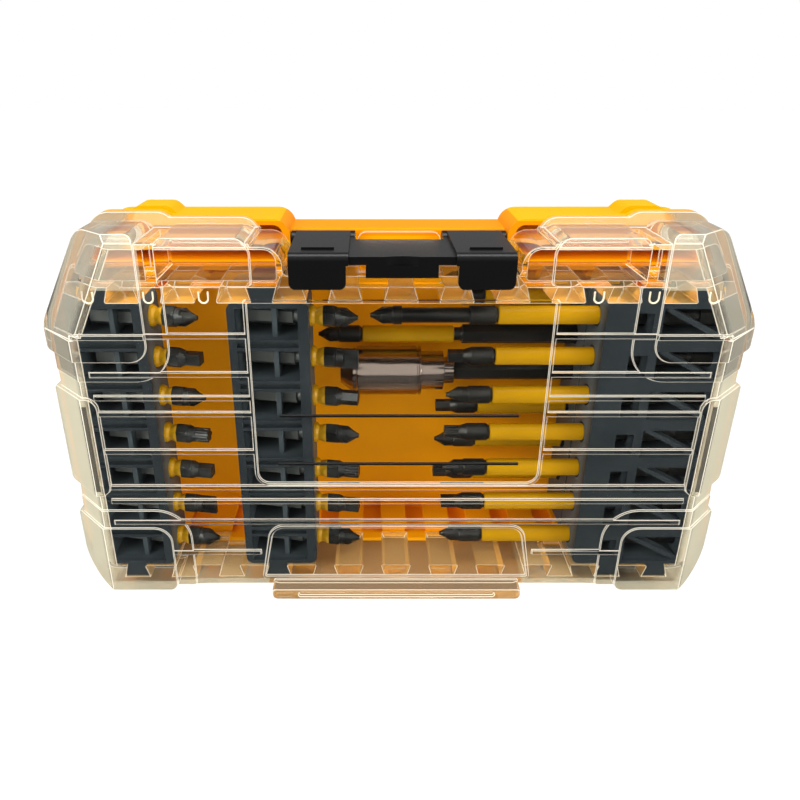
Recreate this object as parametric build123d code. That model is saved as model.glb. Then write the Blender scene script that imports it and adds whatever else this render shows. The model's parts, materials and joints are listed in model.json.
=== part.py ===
from build123d import *
import math
import os

# A screwdriver bit set in a hinged case. Millimetres, +Z up, the lid faces -Y.
# The origin is at the middle of the footprint, on the surface that the case stands on.

# Case: outline of the shells, seen from the front
SIDE_X = 115.0            # half width over the plain side walls
SOLE_Z = 2.0              # underside of the shells, which is also the hinge line
CROWN_X = 101.0           # half width at the top, past the sloped corner
CROWN_Z = 128.3           # top of the lid's shell
SHOULDER_Z = CROWN_Z - 30.3  # height where the sloped upper corner starts
BOSS_Z = CROWN_Z + 2.2    # top of the base's shell
BAY_X = 36.3              # half width of the notch that the latch sits in
BAY_Z = CROWN_Z - 9.8     # floor of that notch
SOLE_R = 10.0             # radius of the lower corners
WALL = 2.0                # wall of both shells
CEILING_Z = CROWN_Z - 13.8  # ceiling of the room for the bits
RIM_OUT = 1.4             # how far both rims stand out from the shells
RIM_UP = 5.0              # how far the lid's rim rises above its crown at the corners
RIM_UP_MIDDLE = 3.3       # and between the corners and the latch
RIM_T = 2.4               # thickness of each rim, front to back

# Case: depth
LID_FRONT_Y = -24.5       # flat front of the lid
PART_Y = 2.0              # plane where lid and base meet
PART_GAP = 0.2            # gap between the two rims
BACK_Y = 26.0             # flat back of the base
TONGUE = 2.5              # how far the base's tongue reaches into the lid
TONGUE_T = 1.4
TONGUE_CLEAR = 0.25
SLOPE = 11.0              # width of the sloped border down the lid's sides

# Pads, lip and lines on the lid
PAD_OUT = 2.5             # how far the corner and side pads stand out sideways
PAD_FRONT = 1.5           # how far they stand out to the front
PAD_IN_X = 80.5           # inner edge of the corner pads
HIGH_PAD_Z = SHOULDER_Z - 7.5  # lower edge of the upper corner pads
HIGH_PAD_TOP = CROWN_Z + 2.7
LOW_PAD_Z = 27.2          # upper edge of the lower corner pads
LOW_PAD_BACK_Y = -8.0     # they end here, which leaves the hinge free to open
SIDE_PAD_Z = (40.5, 77.6)
SIDE_PAD_X = 99.3
BROW_X = (46.0, 74.5)     # raised pads beside the latch
BROW_TOP = CROWN_Z + 1.5
PAD_BEVEL = 2.3           # along the front top edge of the pads
SHELF_DROP = 1.1          # between the latch and the rim the lid's top is this much lower
STEP_REACH = 7.0          # shallow step around each corner pad
STEP_H = 0.8
LIP_X = 45.0              # half width of the foot at the lid's lower edge
LIP_FRONT_Y = -31.0
LIP_H = 4.2
LIP_SLOT_X = 35.5
RIB_W = 1.7
RIB_H = 0.9
SHORT_RIBS = (99.2, 86.1, 77.7, 71.9, 57.8, 16.4)
LONG_RIBS = (43.7, 38.0, 29.5)
RIB_END_X = 100.0
PANEL_X = 49.0            # half width of the framed field in the lid's middle
PANEL_Z = (44.6, CEILING_Z - 3.5)
SILL_X = 45.0             # half width of the framed field above the lip
SILL_TOP = 28.0

# Dovetail teeth that the bit bars slide between
TOOTH_PITCH = 17.4
TOOTH_NARROW = 7.4
TOOTH_WIDE = 10.6
TOOTH_H = 5.0
TOOTH_BACK_Y = -1.0       # the lid's teeth stop short of the tongue
TEETH_EACH_SIDE = 6

# Bit bars
BAR_GAP = 0.4             # above and below, to the teeth
BAR_FRONT_Y = -21.6
BAR_BACK_Y = -3.0
REAR_BAR_Y = (-1.6, 21.0)
NARROW_BAR_W = 25.8
LEFT_BAR_X = -107.2       # left edges of the bars
MIDDLE_BAR_X = -55.0
RIGHT_BAR_X = 65.0
RIGHT_BAR_W = 41.6
BAR_WALL = 2.6
BAR_BACK = 2.0
BAR_R = 2.5               # radius of the long edges
CELL_RIB = 1.1            # the thin double ribs between two cells
TAB_CLEAR = 0.2
ROWS = 7
ROW_LOW = 6.6             # from the bar's lower edge to the first row
ROW_HIGH = 7.0            # from the last row to the bar's upper edge

# Bits
HEX_AF = 6.35             # quarter-inch hexagon, across its flats
BIT_FIT = 0.15            # radial room around a bit in its seat
INSERT_L = 36.0
INSERT_OUT = 17.0         # how far an insert bit reaches past its shoulder
INSERT_TILT = -10.0       # the tips lean to the lid's front
RING_D = 7.2
RING_W = 2.4
POWER_L = 89.0
SHANK_END_WALL = 1.2      # bar wall left behind the end of a long bit
SLEEVE_L = 33.4
SLEEVE_D = 6.1
SLEEVE_T = 0.7
TIP_OUT = 15.8            # from the tip end to the sleeve
FRONT_ROW_Y = -12.0
REAR_ROW_Y = 10.0
REAR_SHIFT = -1.2         # the rear row lies this much further left
TOP_BIT_TIP_X = -9.8      # the uppermost front bit is a longer one
LONG_BIT_TIP_X = -28.5
LONG_SLEEVE_X = -12.5

# Quick-change bit holder
HOLDER_ROW = 4
HOLDER_NOSE_X = -20.4
HOLDER_SLEEVE_X = (-14.5, 9.2)
HOLDER_SLEEVE_D = 18.2
HOLDER_CORE_D = 14.4
HOLDER_CORE_END = 17.3
HOLDER_CAP_D = 9.8
HOLDER_CAP_END = 21.5
SLIDE_FIT = 0.06          # radial room between the core and its sliding sleeve
SLIDE_TRAVEL = 3.0
SPRING_ROOM_D = 16.4
SPRING_WIRE = 0.7
SPRING_TURNS = 5
BALL_D = 4.0

# Hinge between base and lid
HINGE_X = 65.0            # middle of each hinge
KNUCKLE_R = 1.85
KNUCKLE_W = 10.0          # the base's knuckle
SIDE_KNUCKLE_W = 5.0      # the lid's knuckles on both sides of it
KNUCKLE_GAP = 0.2
HINGE_PIN_R = 1.05
HINGE_FIT = 0.06

# Latch
LATCH_X = 34.3            # half width
LATCH_TOP = CROWN_Z - 2.3
LATCH_FRONT_Y = -27.6
LATCH_T = 2.4
LATCH_FOOT_Z = LATCH_TOP - 11.0
LATCH_FOOT_X = 17.0       # inner edge of the two feet
LATCH_MID_Z = LATCH_TOP - 3.7  # lower edge between the feet
LATCH_TAB_X = 11.0
LATCH_TAB_Z = LATCH_TOP - 7.7
LATCH_MID_DROP = 1.2
LATCH_AXIS_Y = 5.5
LATCH_BARREL_R = 2.9
LATCH_EAR_GAP = 0.3
LATCH_PIN_R = 1.4
LATCH_PIN_L = 2.2
LATCH_FIT = 0.06
WINDOW_X = 14.6           # half width of the window at the latch's back
HOOK_D = 1.2
HOOK_H = 1.7
STRIP_Y = 9.5             # front of the base's raised strip behind the latch

HEX_R = HEX_AF / math.sqrt(3)
LATCH_AXIS_Z = LATCH_TOP - LATCH_BARREL_R
LID_EDGE_Y = PART_Y - PART_GAP / 2
BASE_EDGE_Y = PART_Y + PART_GAP / 2
FLOOR_Z = SOLE_Z + WALL
INNER_X = SIDE_X - WALL
LID_IN_Y = LID_FRONT_Y + WALL
BASE_IN_Y = BACK_Y - WALL
PAD_X = SIDE_X + PAD_OUT
PAD_FRONT_Y = LID_FRONT_Y - PAD_FRONT
BAR_Z = (FLOOR_Z + TOOTH_H + BAR_GAP, CEILING_Z - TOOTH_H - BAR_GAP)
ROW_FIRST_Z = BAR_Z[0] + ROW_LOW
ROW_PITCH = (BAR_Z[1] - ROW_HIGH - ROW_FIRST_Z) / (ROWS - 1)
ROOM_CORNER = 7.2         # how far the room's ceiling ends short of its sides
BASE_ROOM_Y = BASE_EDGE_Y + 1.5
SHANK_END_X = RIGHT_BAR_X + RIGHT_BAR_W - SHANK_END_WALL


def row_z(row):
    return ROW_FIRST_Z + row * ROW_PITCH


def box(x, y, z):
    """A block from its lowest to its highest x, y and z."""
    size = (x[1] - x[0], y[1] - y[0], z[1] - z[0])
    middle = ((x[0] + x[1]) / 2, (y[0] + y[1]) / 2, (z[0] + z[1]) / 2)
    return Pos(*middle) * Box(*size)


def plate(corners, y):
    """A plate with the front outline of corners (x, z, radius), from y[0] to y[1]."""
    points = [(x, z) for x, z, r in corners]
    outline = FilletPolyline(*points, radius=[r for x, z, r in corners], close=True)
    face = Plane((0, y[1], 0), x_dir=(1, 0, 0), z_dir=(0, -1, 0)) * make_face(outline)
    return extrude(face, amount=y[1] - y[0])


def both_halves(right):
    """A closed outline from its right half, which is listed from the bottom upwards."""
    return right + [(-x, z, r) for x, z, r in reversed(right)]


def both_sides(shape):
    return shape + mirror(shape, Plane.YZ)


def rod(x, y, z, radius):
    """A round rod along X from x[0] to x[1]."""
    return Pos((x[0] + x[1]) / 2, y, z) * Rot(0, 90, 0) * Cylinder(radius, x[1] - x[0])


def lathe(points):
    """A turned piece along +X from its half outline (x, radius)."""
    outline = Polyline(*[(x, r) for x, r in points], close=True)
    return revolve(make_face(outline), Axis.X)


def shell_outline(crown, grow=0.0, inset=0.0, bay_x=BAY_X, shelf=0.0):
    side = SIDE_X + grow - inset
    sole = SOLE_Z + inset
    top = crown - inset
    slope = (CROWN_X - SIDE_X) / (CROWN_Z - SHOULDER_Z)
    crown_x = side + slope * (top - SHOULDER_Z)
    right = [(side, sole, max(SOLE_R - inset, 2.0) + grow), (side, SHOULDER_Z, 12.0), (crown_x, top, 8.0)]
    if shelf:
        right += [(BROW_X[0], top, 0.5), (BROW_X[0], top - shelf, 0.5)]
    right += [(bay_x + inset, top - shelf, 6.0), (bay_x + inset, BAY_Z - inset, 1.5)]
    return both_halves(right)


def rim(y):
    """The rim at a shell's edge. It is higher at the corners and left out at the latch and below the hinge line."""
    corners = plate(shell_outline(CROWN_Z + RIM_UP, RIM_OUT, bay_x=PAD_IN_X - STEP_REACH), y)
    middle = plate(shell_outline(CROWN_Z + RIM_UP_MIDDLE, RIM_OUT, bay_x=BROW_X[0]), y)
    return corners + middle - box((-200, 200), (-50, 50), (-5, SOLE_Z))


def room_outline(grow, radius=5.0):
    """The outline of the room for the bits, or of the tongue that fits into it."""
    side = INNER_X + grow
    top = CEILING_Z + grow
    return both_halves([(side, FLOOR_Z - grow, radius), (side, SHOULDER_Z, 8.0), (side - ROOM_CORNER, top, 2.0)])


def border_cut(out_x, front_y, grow=0.0):
    """The wedges that slope the lid's border down its sides and upper corners."""
    reach = 40.0
    run = SLOPE + grow
    edge = [(out_x - run, front_y), (out_x + reach, front_y - 1),
            (out_x + reach, front_y + run + reach), (out_x, front_y + run)]
    corner = make_face(Polyline(*edge, close=True))
    upright = extrude(Plane.XY * corner, amount=CROWN_Z * 2)
    upright = Pos(0, 0, -CROWN_Z / 2) * upright
    lean = math.degrees(math.atan2(SIDE_X - CROWN_X, CROWN_Z - SHOULDER_Z))
    tilted = Pos(out_x, 0, SHOULDER_Z) * Rot(0, -lean, 0) * Pos(-out_x, 0, -SHOULDER_Z) * upright
    tilted = tilted & box((0, 300), (-100, 100), (SHOULDER_Z, 200))
    return both_sides(upright + tilted)


def top_bevel(top):
    """A wedge along X that takes the front top edge off the pads that end at top."""
    edge = Polyline((PAD_FRONT_Y - 1, top - PAD_BEVEL - 1), (PAD_FRONT_Y + PAD_BEVEL + 1, top + 1),
                    (PAD_FRONT_Y - 1, top + 1), close=True)
    face = Plane((-PAD_X, 0, 0), x_dir=(0, 1, 0), z_dir=(1, 0, 0)) * make_face(edge)
    return extrude(face, amount=2 * PAD_X)


def teeth(y, shell):
    """Two facing rows of dovetail teeth, wider at their ends than at their roots, kept inside shell."""
    rows = []
    for k in range(-TEETH_EACH_SIDE, TEETH_EACH_SIDE + 1):
        x = TOOTH_PITCH * k
        for root, tip in ((FLOOR_Z - 0.5, FLOOR_Z + TOOTH_H), (CEILING_Z + 0.5, CEILING_Z - TOOTH_H)):
            corners = [(x - TOOTH_NARROW / 2, root), (x + TOOTH_NARROW / 2, root),
                       (x + TOOTH_WIDE / 2, tip), (x - TOOTH_WIDE / 2, tip)]
            tooth = plate([(a, b, 0.4) for a, b in corners], y)
            rows.append(tooth & shell if abs(k) == TEETH_EACH_SIDE else tooth)
    return rows


def gap_between_teeth(x):
    """The middle of the gap between two teeth that is nearest to x."""
    return (math.floor(x / TOOTH_PITCH) + 0.5) * TOOTH_PITCH


def frame_line(corners, y, width=1.0):
    """A raised line that follows a closed outline."""
    outer = plate(corners, y)
    middle_x = sum(x for x, z, r in corners) / len(corners)
    middle_z = sum(z for x, z, r in corners) / len(corners)
    inner = [(x - math.copysign(width, x - middle_x), z - math.copysign(width, z - middle_z),
              max(r - width, 0.5)) for x, z, r in corners]
    return outer - plate(inner, (y[0] - 1, y[1] + 1))


def knuckle_places(width):
    """Where the base's knuckle of each hinge lies, with half its width on each side."""
    return [(x - width / 2, x + width / 2) for x in (-HINGE_X, HINGE_X)]


def hinge_side_knuckles():
    near = KNUCKLE_W / 2 + KNUCKLE_GAP
    far = near + SIDE_KNUCKLE_W
    spans = []
    for x in (-HINGE_X, HINGE_X):
        spans += [(x - far, x - near), (x + near, x + far)]
    return spans


def make_lid():
    shell = plate(shell_outline(CROWN_Z, shelf=SHELF_DROP), (LID_FRONT_Y, LID_EDGE_Y))
    shell += rim((LID_EDGE_Y - RIM_T, LID_EDGE_Y))
    shell -= border_cut(SIDE_X, LID_FRONT_Y)

    step_right = [(PAD_IN_X - STEP_REACH, HIGH_PAD_Z - STEP_REACH, 12.0), (SIDE_X, HIGH_PAD_Z - STEP_REACH, 1.0),
                  (SIDE_X, SHOULDER_Z, 12.0), (CROWN_X, CROWN_Z, 8.0), (PAD_IN_X - STEP_REACH, CROWN_Z, 1.0)]
    low_step = [(PAD_IN_X - STEP_REACH, SOLE_Z, 1.0), (SIDE_X, SOLE_Z, SOLE_R),
                (SIDE_X, LOW_PAD_Z + STEP_REACH, 1.0), (PAD_IN_X - STEP_REACH, LOW_PAD_Z + STEP_REACH, 12.0)]
    raised = []
    for corners in (step_right, low_step):
        raised.append(plate(corners, (LID_FRONT_Y - STEP_H, LID_FRONT_Y + SLOPE)))
    steps = both_sides(raised[0] + raised[1]) - border_cut(SIDE_X, LID_FRONT_Y - STEP_H)

    high_pad = [(PAD_IN_X, HIGH_PAD_Z, 6.0), (PAD_X, HIGH_PAD_Z, 1.5), (PAD_X, SHOULDER_Z + 2.5, 10.0),
                (CROWN_X + 0.6, HIGH_PAD_TOP, 7.0), (PAD_IN_X, HIGH_PAD_TOP, 3.0)]
    low_pad = [(PAD_IN_X, 0, 3.0), (PAD_X, 0, SOLE_R + 2.0), (PAD_X, LOW_PAD_Z, 1.5), (PAD_IN_X, LOW_PAD_Z, 6.0)]
    side_pad = [(SIDE_PAD_X, SIDE_PAD_Z[0], 4.0), (PAD_X, SIDE_PAD_Z[0], 1.5),
                (PAD_X, SIDE_PAD_Z[1], 1.5), (SIDE_PAD_X, SIDE_PAD_Z[1], 4.0)]
    brow = [(BROW_X[0], CEILING_Z + 1, 1.0), (BROW_X[1], CEILING_Z + 1, 1.0),
            (BROW_X[1], BROW_TOP, 2.0), (BROW_X[0], BROW_TOP, 5.0)]
    pads = plate(high_pad, (PAD_FRONT_Y, LID_EDGE_Y - RIM_T - 1.0))
    pads -= top_bevel(HIGH_PAD_TOP)
    pads += plate(low_pad, (PAD_FRONT_Y, LOW_PAD_BACK_Y))
    pads += plate(side_pad, (PAD_FRONT_Y, LID_EDGE_Y - RIM_T - 4.0))
    pads = both_sides(pads) - border_cut(PAD_X, PAD_FRONT_Y, 2.0)
    brows = both_sides(plate(brow, (PAD_FRONT_Y, LID_EDGE_Y - RIM_T - 1.0)))
    brows -= top_bevel(BROW_TOP)
    shell += steps + pads + brows

    rib_y = (LID_FRONT_Y - RIB_H, LID_FRONT_Y + 0.3)
    ribs = []
    for z in SHORT_RIBS:
        ribs.append(both_sides(box((PANEL_X, RIB_END_X), rib_y, (z - RIB_W / 2, z + RIB_W / 2))))
    for z in LONG_RIBS:
        ribs.append(box((-RIB_END_X, RIB_END_X), rib_y, (z - RIB_W / 2, z + RIB_W / 2)))
    top_rib = SHORT_RIBS[0]
    ribs.append(both_sides(box((PAD_IN_X, PAD_X - SLOPE - 2.5), (PAD_FRONT_Y - RIB_H, PAD_FRONT_Y + 0.3),
                               (top_rib - RIB_W / 2, top_rib + RIB_W / 2))))
    field = [(-PANEL_X, PANEL_Z[0], 5.0), (PANEL_X, PANEL_Z[0], 5.0), (PANEL_X, PANEL_Z[1], 1.0),
             (-PANEL_X, PANEL_Z[1], 1.0)]
    sill = [(-SILL_X - 4, SOLE_Z + 3, 1.0), (SILL_X + 4, SOLE_Z + 3, 1.0), (SILL_X, SILL_TOP, 6.0),
            (-SILL_X, SILL_TOP, 6.0)]
    ribs.append(frame_line(field, rib_y))
    ribs.append(frame_line(sill, rib_y))
    for rib in ribs:
        shell += rib

    lip = plate([(-LIP_X, 0, 2.0), (LIP_X, 0, 2.0), (LIP_X, LIP_H, 1.0), (-LIP_X, LIP_H, 1.0)],
                (LIP_FRONT_Y, LID_FRONT_Y + 1))
    lip -= plate([(-LIP_SLOT_X, 1.1, 0.8), (LIP_SLOT_X, 1.1, 0.8), (LIP_SLOT_X, LIP_H - 1.1, 0.8),
                  (-LIP_SLOT_X, LIP_H - 1.1, 0.8)], (LIP_FRONT_Y - 1, LIP_FRONT_Y + 1.2))
    shell += lip

    room = plate(room_outline(0), (LID_IN_Y, LID_EDGE_Y + 5))
    attic_side = [(BAY_X + WALL, CEILING_Z + WALL, 1.0), (CROWN_X + 2.0, CEILING_Z + WALL, 1.0),
                  (CROWN_X - 4.0, CROWN_Z - WALL, 4.0), (BAY_X + WALL, CROWN_Z - WALL, 4.0)]
    attic = both_sides(plate(attic_side, (LID_IN_Y, LID_EDGE_Y + 5)))
    inside = (room + attic) - border_cut(INNER_X + 0.8, LID_IN_Y)
    shell -= inside
    divider = both_sides(box((BROW_X[1] + 1.0, PAD_IN_X - 2.0), (LID_FRONT_Y + 1, LID_EDGE_Y - TONGUE - 1.0),
                             (CEILING_Z + 1, CROWN_Z - 1)))
    shell += divider
    keep = plate(shell_outline(CROWN_Z, inset=0.8), (LID_FRONT_Y, LID_EDGE_Y)) - border_cut(SIDE_X - 0.8, LID_FRONT_Y)
    for tooth in teeth((LID_IN_Y - 0.5, TOOTH_BACK_Y), keep):
        shell += tooth

    catch_rim = box((-WINDOW_X + 0.8, WINDOW_X - 0.8), (LID_EDGE_Y - 2.0, LID_EDGE_Y), (BAY_Z - 1, LATCH_TOP + 0.8))
    catch_rim = fillet(catch_rim.edges().filter_by(Axis.Y).group_by(Axis.Z)[-1], 3.0)
    shell += catch_rim
    groove_z = (LATCH_FOOT_Z - 0.1, LATCH_FOOT_Z + HOOK_H + 0.5)
    for side in (-1, 1):
        middle = side * (LATCH_FOOT_X + LATCH_X) / 2
        shell -= box((middle - 7.2, middle + 7.2), (LID_FRONT_Y - 1, LID_FRONT_Y + 0.8), groove_z)

    for span in knuckle_places(KNUCKLE_W + 2 * KNUCKLE_GAP):
        shell -= rod(span, PART_Y, SOLE_Z, KNUCKLE_R + 0.2)
    for span in hinge_side_knuckles():
        shell += rod(span, PART_Y, SOLE_Z, KNUCKLE_R)
        shell += box(span, (PART_Y - KNUCKLE_R - 1.5, LID_EDGE_Y), (SOLE_Z, SOLE_Z + WALL))
        shell -= rod((span[0] - 0.1, span[1] + 0.1), PART_Y, SOLE_Z, HINGE_PIN_R + HINGE_FIT)
    return shell


def make_base():
    shell = plate(shell_outline(BOSS_Z), (BASE_EDGE_Y, BACK_Y))
    shell = fillet(shell.faces().sort_by(Axis.Y)[-1].edges(), 1.2)
    shell += rim((BASE_EDGE_Y, BASE_EDGE_Y + RIM_T))
    strip = box((-BAY_X - 1, BAY_X + 1), (STRIP_Y, BACK_Y), (BAY_Z - 1, LATCH_TOP))
    strip = fillet(strip.edges().filter_by(Axis.X).group_by(Axis.Z)[-1], 1.0)
    shell += strip
    bump = [(74.8, BOSS_Z - 1, 0.3), (93.2, BOSS_Z - 1, 0.3), (89.7, BOSS_Z + 2.5, 4.0), (78.3, BOSS_Z + 2.5, 4.0)]
    shell += both_sides(plate(bump, (BASE_EDGE_Y + 10, BACK_Y - 1.2)))
    foot = [(80.0, 0, 1.0), (104.0, 0, 1.5), (106.0, SOLE_Z + 1, 0.5), (78.0, SOLE_Z + 1, 0.5)]
    shell += both_sides(plate(foot, (BACK_Y - 8.0, BACK_Y - 1.2)))

    shell += plate(room_outline(-TONGUE_CLEAR), (PART_Y - TONGUE, BASE_EDGE_Y + 1))
    room = plate(room_outline(-TONGUE_CLEAR - TONGUE_T, 4.0), (PART_Y - TONGUE - 1, BASE_ROOM_Y + 1))
    room += plate(room_outline(0), (BASE_ROOM_Y, BASE_IN_Y))
    boss_side = [(BAY_X + WALL + 0.6, CEILING_Z + WALL, 1.0), (CROWN_X + 2.0, CEILING_Z + WALL, 1.0),
                 (CROWN_X - 4.0, BOSS_Z - WALL, 4.0), (BAY_X + WALL + 0.6, BOSS_Z - WALL, 3.0)]
    attic = both_sides(plate(boss_side, (BASE_EDGE_Y - 1, BASE_IN_Y)))
    shell -= room + attic
    shell += both_sides(box((BAY_X + WALL, CROWN_X - 3.0), (BASE_EDGE_Y + 2.0, BASE_IN_Y + 0.5),
                            (BOSS_Z - 9.5, BOSS_Z - 7.9)))
    shell -= box((-BAY_X + 2, BAY_X - 2), (STRIP_Y + WALL, BASE_IN_Y), (CEILING_Z + WALL, LATCH_TOP - WALL))

    keep = plate(shell_outline(BOSS_Z, inset=0.8), (BASE_EDGE_Y, BACK_Y))
    for tooth in teeth((BASE_ROOM_Y + 0.2, BASE_IN_Y + 0.5), keep):
        shell += tooth
    for side in (-1, 1):
        span = sorted((side * (BAY_X - 1), side * (BAY_X + LATCH_PIN_L + 0.3)))
        shell -= rod(span, LATCH_AXIS_Y, LATCH_AXIS_Z, LATCH_PIN_R + LATCH_FIT)

    for span in hinge_side_knuckles():
        shell -= rod((span[0] - KNUCKLE_GAP, span[1] + KNUCKLE_GAP), PART_Y, SOLE_Z, KNUCKLE_R + 0.2)
    for span in knuckle_places(KNUCKLE_W):
        shell += rod(span, PART_Y, SOLE_Z, KNUCKLE_R)
        shell += box(span, (BASE_EDGE_Y, PART_Y + KNUCKLE_R + 1.5), (SOLE_Z, SOLE_Z + WALL))
    for span in knuckle_places(KNUCKLE_W + 2 * (KNUCKLE_GAP + SIDE_KNUCKLE_W) - 0.4):
        shell += rod(span, PART_Y, SOLE_Z, HINGE_PIN_R)
    return shell


def make_latch():
    corner = 2.2
    profile = Polyline((LATCH_FRONT_Y, LATCH_FOOT_Z), (LATCH_FRONT_Y, LATCH_TOP), (LATCH_AXIS_Y, LATCH_TOP),
                       (LATCH_AXIS_Y, LATCH_TOP - LATCH_T), (LATCH_FRONT_Y + LATCH_T, LATCH_TOP - LATCH_T),
                       (LATCH_FRONT_Y + LATCH_T, LATCH_FOOT_Z), close=True)
    face = Plane((-LATCH_X, 0, 0), x_dir=(0, 1, 0), z_dir=(1, 0, 0)) * make_face(profile)
    body = extrude(face, amount=2 * LATCH_X)
    body = fillet(body.edges().filter_by(Axis.X).group_by(Axis.Y)[0].group_by(Axis.Z)[-1], corner)
    between = box((-LATCH_FOOT_X, LATCH_FOOT_X), (LATCH_FRONT_Y - 1, LATCH_FRONT_Y + LATCH_T + 1),
                  (LATCH_FOOT_Z - 1, LATCH_MID_Z))
    tab = box((-LATCH_TAB_X, LATCH_TAB_X), (LATCH_FRONT_Y - 1, LATCH_FRONT_Y + LATCH_T + 1),
              (LATCH_TAB_Z, LATCH_MID_Z))
    body -= between - tab
    feet_edges = body.edges().filter_by(Axis.Y).group_by(Axis.Z)[0]
    body = fillet(feet_edges, 2.0)
    drop = box((-LATCH_FOOT_X + 0.8, LATCH_FOOT_X - 0.8), (LATCH_FRONT_Y - 1, LATCH_AXIS_Y + 5),
               (LATCH_TOP - LATCH_MID_DROP, LATCH_TOP + 1))
    drop += box((-LATCH_FOOT_X + 0.8, LATCH_FOOT_X - 0.8), (LATCH_FRONT_Y - 1, LATCH_FRONT_Y + LATCH_MID_DROP),
                (LATCH_FOOT_Z - 1, LATCH_TOP + 1))
    body -= drop
    scoop_r = 16.0
    scoop_y = LATCH_FRONT_Y + LATCH_MID_DROP + 0.9 - scoop_r
    body -= Pos(0, scoop_y, LATCH_TOP) * Cylinder(scoop_r, 8.0)
    barrel_end = BAY_X - LATCH_EAR_GAP
    for side in (-1, 1):
        span = sorted((side * WINDOW_X, side * barrel_end))
        body += rod(span, LATCH_AXIS_Y, LATCH_AXIS_Z, LATCH_BARREL_R)
        pin = sorted((side * (barrel_end - 1), side * (BAY_X + LATCH_PIN_L)))
        body += rod(pin, LATCH_AXIS_Y, LATCH_AXIS_Z, LATCH_PIN_R)
        middle = side * (LATCH_FOOT_X + LATCH_X) / 2
        hook_y = LATCH_FRONT_Y + LATCH_T
        body += box((middle - 6.5, middle + 6.5), (hook_y - 0.5, hook_y + HOOK_D),
                    (LATCH_FOOT_Z + 0.2, LATCH_FOOT_Z + HOOK_H))
        body += box((middle - 5.0, middle + 5.0), (LATCH_FRONT_Y + 6.0, LATCH_FRONT_Y + 7.4),
                    (LATCH_TOP - 0.5, LATCH_TOP + 0.6))
    body -= box((-WINDOW_X, WINDOW_X), (-2.4, LATCH_AXIS_Y + LATCH_BARREL_R + 1), (LATCH_FOOT_Z, LATCH_TOP + 2))
    return body


def bar_tabs(x_list, y):
    tabs = []
    half_neck = (TOOTH_PITCH - TOOTH_WIDE) / 2 - TAB_CLEAR
    half_head = (TOOTH_PITCH - TOOTH_NARROW) / 2 - TAB_CLEAR - 0.3
    for x in x_list:
        for root, head in ((BAR_Z[0] + 0.5, FLOOR_Z + TAB_CLEAR), (BAR_Z[1] - 0.5, CEILING_Z - TAB_CLEAR)):
            edge = BAR_Z[0] if head < root else BAR_Z[1]
            corners = [(x - half_neck, root, 0.2), (x + half_neck, root, 0.2), (x + half_neck, edge, 0.2),
                       (x + half_head, head, 0.4), (x - half_head, head, 0.4), (x - half_neck, edge, 0.2)]
            tabs.append(plate(corners, y))
    return tabs


def fit_to_border(bar):
    """Cuts a front bar back where the lid's inside slopes, and leaves a little room."""
    return bar - border_cut(INNER_X + 0.3, LID_IN_Y)


def insert_place(left, row):
    """Where an insert bit's shoulder lies, with its ring halfway in the bar that starts at left."""
    return Pos(left + NARROW_BAR_W - RING_W / 2, FRONT_ROW_Y, row_z(row)) * Rot(0, 0, INSERT_TILT)


def make_narrow_bar(left):
    right = left + NARROW_BAR_W
    bar = box((left, right), (BAR_FRONT_Y, BAR_BACK_Y), BAR_Z)
    bar = fillet(bar.edges().filter_by(Axis.Y), BAR_R)
    for row in range(ROWS):
        z = row_z(row)
        half = ROW_PITCH / 2
        cell = (z - half + CELL_RIB * 1.8, z + half - CELL_RIB * 1.8)
        bar -= box((left + BAR_WALL, right - BAR_WALL - 0.8), (BAR_FRONT_Y - 1, BAR_BACK_Y - BAR_BACK), cell)
        groove = z + half
        if row < ROWS - 1:
            bar -= box((left + BAR_WALL, right - BAR_WALL - 0.8), (BAR_FRONT_Y - 1, BAR_FRONT_Y + 2.0),
                       (groove - CELL_RIB * 0.8, groove + CELL_RIB * 0.8))
        web_x = right - 12.0
        bar += box((web_x, web_x + 1.6), (BAR_FRONT_Y + 3.5, BAR_BACK_Y - BAR_BACK + 0.5),
                   (cell[0] - 0.5, cell[1] + 0.5))
        bar -= insert_place(left, row) * rod((-22.0, 4.0), 0, 0, HEX_R + BIT_FIT)
    tab_x = gap_between_teeth((left + right) / 2)
    for tab in bar_tabs([tab_x], (BAR_FRONT_Y, BAR_BACK_Y)):
        bar += tab
    return fit_to_border(bar)


def make_wide_bar(y, row_y, rows_used):
    left = RIGHT_BAR_X
    right = left + RIGHT_BAR_W
    bar = box((left, right), y, BAR_Z)
    bar = fillet(bar.edges().filter_by(Axis.Y), BAR_R)
    window_x = (left + 9.0, left + 15.0)
    hollow_x = (left + 18.0, right - BAR_WALL)
    for row in range(ROWS):
        z = row_z(row)
        half = ROW_PITCH / 2 - CELL_RIB * 1.8
        bar -= box(window_x, (y[0] - 1, y[1] - BAR_BACK), (z - half + 1.5, z + half - 1.5))
        bar -= box(hollow_x, (y[0] - 1, y[1] - BAR_BACK), (z - half, z + half))
        reach = (hollow_x[1] - hollow_x[0]) / 2
        brace = box((-reach, reach), (y[0] + 1.2, row_y - HEX_R - 0.6), (-0.8, 0.8))
        brace = Pos(hollow_x[0] + reach, 0, z) * Rot(0, 28, 0) * brace
        bar += brace & box((hollow_x[0] - 0.3, hollow_x[1] + 0.3), y, (z - half - 0.3, z + half + 0.3))
        if row in rows_used:
            bar -= rod((left - 1, SHANK_END_X + 0.2), row_y, z, HEX_R + BIT_FIT)
    tabs_x = [gap_between_teeth(left + TOOTH_PITCH), gap_between_teeth(right - TOOTH_PITCH / 2)]
    tab_y = (y[0], y[1]) if y[1] < PART_Y else (BASE_ROOM_Y + 0.5, y[1])
    for tab in bar_tabs(tabs_x, tab_y):
        bar += tab
    return fit_to_border(bar)


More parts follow.
